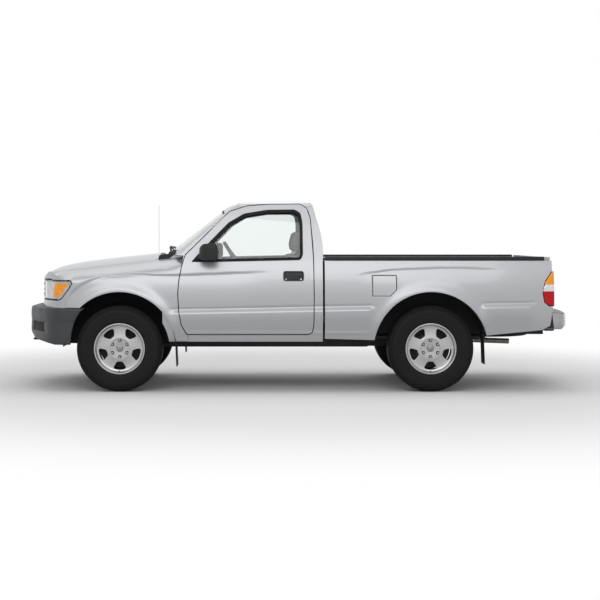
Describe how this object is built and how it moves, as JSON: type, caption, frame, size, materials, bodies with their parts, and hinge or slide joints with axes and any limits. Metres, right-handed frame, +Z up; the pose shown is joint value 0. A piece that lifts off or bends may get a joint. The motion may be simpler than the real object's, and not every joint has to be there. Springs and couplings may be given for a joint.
{
  "type": "pickup truck",
  "caption": "Compact two-door pickup truck with a single cab, open bed, opening doors, hood and tailgate, and steered front wheels.",
  "frame": {"origin": "centre of the bounding box, at the ground under the tyres", "axes": "-X is the front, +X the rear, -Y the truck's left side, +Z up"},
  "size_m": [4.686, 1.9, 1.6272],
  "materials": {
    "body_paint": "silver metallic paint with clear coat",
    "bumper_plastic": "grained dark grey plastic",
    "black_plastic": "satin black plastic",
    "interior_plastic": "grained grey plastic",
    "floor_mat": "moulded floor mat",
    "seat_fabric": "woven grey cloth",
    "glass": "clear, slightly green",
    "lamp_clear": "clear lens with an amber part",
    "lamp_red": "red, white and amber lens",
    "chrome": "chromed steel",
    "alloy": "silver painted alloy",
    "tyre": "black rubber",
    "rubber": "black rubber",
    "frame_black": "black chassis paint",
    "cast_iron": "cast",
    "cast_alloy": "as cast",
    "exhaust_steel": "dull",
    "bare_steel": "machined"
  },
  "bodies": {
    "root": {"chassis_frame": "frame_black", "front_suspension": "frame_black", "rear_axle": "cast_iron", "leaf_springs": "frame_black", "driveline": "cast_alloy", "engine_block": "cast_iron", "radiator": "cast_alloy", "fuel_tank": "frame_black", "exhaust": "exhaust_steel", "spare_wheel": "tyre", "cab_shell": "body_paint", "cab_floor": "floor_mat", "dashboard": "interior_plastic", "steering_wheel": "interior_plastic", "bench_seat": "seat_fabric", "windshield": "glass", "rear_window": "glass", "cowl_panel": "black_plastic", "fender_left": "body_paint", "fender_right": "body_paint", "grille": "black_plastic", "headlamps": "lamp_clear", "front_bumper": "bumper_plastic", "bed_floor": "body_paint", "bed_side_left": "body_paint", "bed_side_right": "body_paint", "bed_rail_caps": "black_plastic", "tail_lamps": "lamp_red", "rear_bumper": "chrome", "mud_flaps": "rubber", "antenna": "black_plastic"},
    "knuckle_left": {"knuckle_left": "cast_iron"},
    "knuckle_right": {"knuckle_right": "cast_iron"},
    "wheel_front_left": {"rim_front_left": "alloy", "tyre_front_left": "tyre"},
    "wheel_front_right": {"rim_front_right": "alloy", "tyre_front_right": "tyre"},
    "wheel_rear_left": {"rim_rear_left": "alloy", "tyre_rear_left": "tyre"},
    "wheel_rear_right": {"rim_rear_right": "alloy", "tyre_rear_right": "tyre"},
    "steering_rack": {"steering_rack": "bare_steel"},
    "hood": {"hood": "body_paint"},
    "door_left": {"door_left": "body_paint", "door_glass_left": "glass", "mirror_left": "black_plastic"},
    "door_right": {"door_right": "body_paint", "door_glass_right": "glass", "mirror_right": "black_plastic"},
    "fuel_door": {"fuel_door": "body_paint"},
    "tailgate": {"tailgate": "body_paint"}
  },
  "joints": [
    {"name": "steer_left", "type": "hinge", "parent": "root", "child": "knuckle_left", "pos_m": [-1.493, -0.66, 0.363], "axis": [0, 0, 1], "range_deg": [-30, 30]},
    {"name": "steer_right", "type": "hinge", "parent": "root", "child": "knuckle_right", "pos_m": [-1.493, 0.66, 0.363], "axis": [0, 0, 1], "range_deg": [-30, 30]},
    {"name": "steering_rack_slide", "type": "slide", "parent": "root", "child": "steering_rack", "axis": [0, -1, 0], "range_m": [-0.055, 0.055]},
    {"name": "spin_front_left", "type": "hinge", "parent": "knuckle_left", "child": "wheel_front_left", "pos_m": [-1.493, -0.725, 0.363], "axis": [0, 1, 0], "continuous": true},
    {"name": "spin_front_right", "type": "hinge", "parent": "knuckle_right", "child": "wheel_front_right", "pos_m": [-1.493, 0.725, 0.363], "axis": [0, 1, 0], "continuous": true},
    {"name": "spin_rear_left", "type": "hinge", "parent": "root", "child": "wheel_rear_left", "pos_m": [1.131, -0.725, 0.363], "axis": [0, 1, 0], "continuous": true},
    {"name": "spin_rear_right", "type": "hinge", "parent": "root", "child": "wheel_rear_right", "pos_m": [1.131, 0.725, 0.363], "axis": [0, 1, 0], "continuous": true},
    {"name": "hood_hinge", "type": "hinge", "parent": "root", "child": "hood", "pos_m": [-1.178, 0, 1.164], "axis": [0, 1, 0], "range_deg": [0, 50]},
    {"name": "door_left_hinge", "type": "hinge", "parent": "root", "child": "door_left", "pos_m": [-1.001, -0.848, 0.8], "axis": [0, 0, -1], "range_deg": [0, 65]},
    {"name": "door_right_hinge", "type": "hinge", "parent": "root", "child": "door_right", "pos_m": [-1.001, 0.848, 0.8], "axis": [0, 0, 1], "range_deg": [0, 65]},
    {"name": "fuel_door_hinge", "type": "hinge", "parent": "root", "child": "fuel_door", "pos_m": [0.64, -0.848, 0.893], "axis": [0, 0, -1], "range_deg": [0, 85]},
    {"name": "tailgate_hinge", "type": "hinge", "parent": "root", "child": "tailgate", "pos_m": [2.14, 0, 0.702], "axis": [0, 1, 0], "range_deg": [0, 90]}
  ],
  "couplings": [
    {"joint": "steer_right", "follows": "steer_left", "ratio": 1},
    {"joint": "steering_rack_slide", "follows": "steer_left", "m_per_rad": -0.098}
  ]
}
